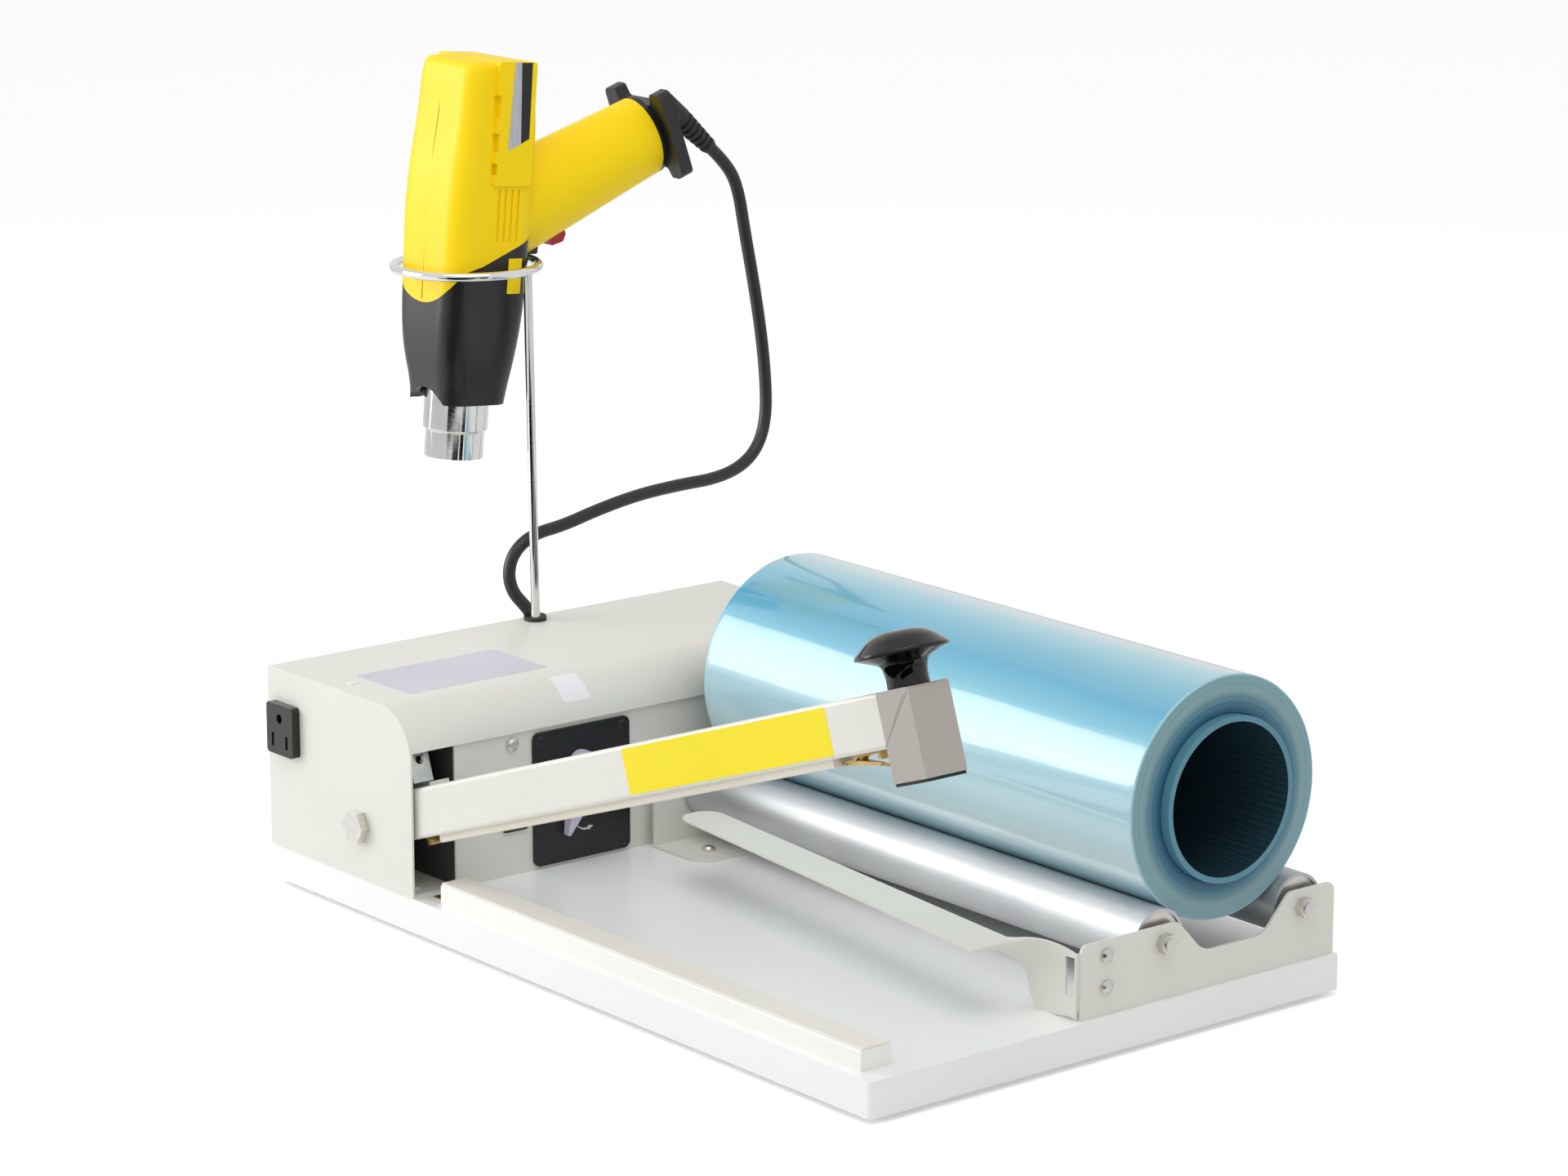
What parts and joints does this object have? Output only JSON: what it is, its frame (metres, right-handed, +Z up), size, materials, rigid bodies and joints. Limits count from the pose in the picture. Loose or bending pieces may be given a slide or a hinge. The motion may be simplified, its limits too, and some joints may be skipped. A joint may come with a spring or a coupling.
{
  "type": "i-bar sealer",
  "caption": "Table-top I-bar film sealer: a hinged sealing arm, a film roll on cradle rollers, a twisted film separator, and a hot-air gun hung in a ring holder.",
  "frame": {"origin": "on the table, in the plane of the feet, under the middle of the base board", "axes": "+X to the operator's right, the operator at -Y and the control box at +Y, +Z up"},
  "size_m": [0.3639, 0.5941, 0.4207],
  "materials": {
    "white_board": "white melamine, satin",
    "rubber": "black rubber, matt",
    "grey_paint": "light grey powder coat, satin",
    "bed_white": "white heat-proof bar",
    "bed_pad": "beige silicone pad with a smooth cover",
    "brass": "bare brass strip",
    "zinc": "zinc plated steel",
    "black_plate": "black printed plate, semi gloss",
    "black_plastic": "moulded black plastic",
    "black_gloss": "polished black plastic",
    "lavender": "light knob plastic",
    "chrome": "bright chrome",
    "aluminium": "drawn aluminium tube",
    "film": "clear blue film, wound",
    "core": "dark plastic core",
    "yellow": "yellow moulded plastic, satin",
    "red": "red moulded plastic",
    "phenolic": "heat-proof carrier strip",
    "laminations": "stacked steel laminations",
    "copper": "enamelled copper winding",
    "circuit": "green circuit board with parts",
    "ceramic": "heater ceramic",
    "cord": "black rubber cord"
  },
  "bodies": {
    "machine": {"base_board": "white_board", "rubber_feet": "rubber", "seal_bed_bar": "bed_white", "seal_bed_pad": "bed_pad", "bed_rear_clip": "brass", "box_floor": "grey_paint", "end_plate_left": "grey_paint", "end_plate_right": "grey_paint", "box_hood": "grey_paint", "front_panel": "grey_paint", "arm_bay_wall": "grey_paint", "control_plate": "black_plate", "plate_rivets": "zinc", "rear_panel": "grey_paint", "pan_screws": "zinc", "power_outlet": "black_plastic", "mains_gland": "black_plastic", "transformer_core": "laminations", "transformer_coil": "copper", "timer_board": "circuit", "switch_body": "black_plastic", "microswitch_body": "black_plastic", "pivot_bolt": "zinc", "return_spring": "zinc", "cradle_front_plate": "grey_paint", "cradle_rear_plate": "grey_paint", "film_separator": "grey_paint", "separator_screws": "zinc", "roller_axles": "zinc", "axle_nuts": "zinc", "holder_ring": "chrome", "holder_grommet": "rubber", "gun_cord": "cord"},
    "seal_arm": {"arm_tube": "grey_paint", "arm_end_block": "grey_paint", "arm_bumper": "rubber", "handle_knob": "black_gloss", "element_carrier": "phenolic", "seal_wire": "zinc", "wire_clips": "brass", "spring_bracket": "zinc"},
    "timer_knob": {"timer_knob": "lavender"},
    "power_rocker": {"switch_rocker": "lavender"},
    "travel_switch_lever": {"microswitch_lever": "zinc"},
    "roller_left": {"roller_left": "aluminium", "roller_left_bearings": "zinc"},
    "roller_right": {"roller_right": "aluminium", "roller_right_bearings": "zinc"},
    "film_roll": {"film_roll": "film", "film_core": "core"},
    "heat_gun": {"gun_shell_left": "yellow", "gun_shell_right": "yellow", "gun_nose_guard": "black_plastic", "gun_nozzle": "chrome", "gun_heater": "ceramic", "gun_motor": "zinc", "gun_end_cap": "black_plastic", "gun_strain_relief": "rubber"},
    "gun_fan": {"gun_fan": "black_plastic"},
    "gun_switch": {"gun_switch": "red"}
  },
  "joints": [
    {"name": "arm_hinge", "type": "hinge", "parent": "machine", "child": "seal_arm", "pos_m": [-0.1353, 0.163, 0.0493], "axis": [1, 0, 0], "range_deg": [0, 19], "stiffness_Nm_per_rad": 4, "springref_deg": -57.3, "deforming": ["return_spring"]},
    {"name": "travel_switch_hinge", "type": "hinge", "parent": "machine", "child": "travel_switch_lever", "pos_m": [-0.126, 0.212, 0.073], "axis": [1, 0, 0], "range_deg": [-21.5, 0]},
    {"name": "film_roll_spin", "type": "hinge", "parent": "machine", "child": "film_roll", "pos_m": [0.0804, -0.0685, 0.11051], "axis": [0, 1, 0], "continuous": true},
    {"name": "roller_left_spin", "type": "hinge", "parent": "machine", "child": "roller_left", "pos_m": [0.03435, -0.064, 0.0492], "axis": [0, 1, 0], "continuous": true},
    {"name": "roller_right_spin", "type": "hinge", "parent": "machine", "child": "roller_right", "pos_m": [0.12645, -0.064, 0.0492], "axis": [0, 1, 0], "continuous": true},
    {"name": "timer_turn", "type": "hinge", "parent": "machine", "child": "timer_knob", "pos_m": [-0.0485, 0.11, 0.0575], "axis": [0, 1, 0], "range_deg": [-135, 135]},
    {"name": "rocker_tilt", "type": "hinge", "parent": "machine", "child": "power_rocker", "pos_m": [-0.085, 0.1212, 0.0553], "axis": [1, 0, 0], "range_deg": [-18, 0]},
    {"name": "gun_lift", "type": "slide", "parent": "machine", "child": "heat_gun", "axis": [0, 0, 1], "range_m": [0, 0.12]},
    {"name": "gun_fan_spin", "type": "hinge", "parent": "heat_gun", "child": "gun_fan", "pos_m": [0, 0.2753, 0.3088], "axis": [0.0872, 0, 0.9962], "continuous": true},
    {"name": "gun_switch_press", "type": "slide", "parent": "heat_gun", "child": "gun_switch", "axis": [-0.3256, 0, 0.9455], "range_m": [0, 0.0035], "stiffness_N_per_m": 400, "springref_m": -0.001}
  ],
  "couplings": [
    {"joint": "roller_left_spin", "follows": "film_roll_spin", "ratio": -3.811},
    {"joint": "roller_right_spin", "follows": "film_roll_spin", "ratio": -3.811},
    {"joint": "travel_switch_hinge", "follows": "arm_hinge", "ratio": -1.12}
  ]
}
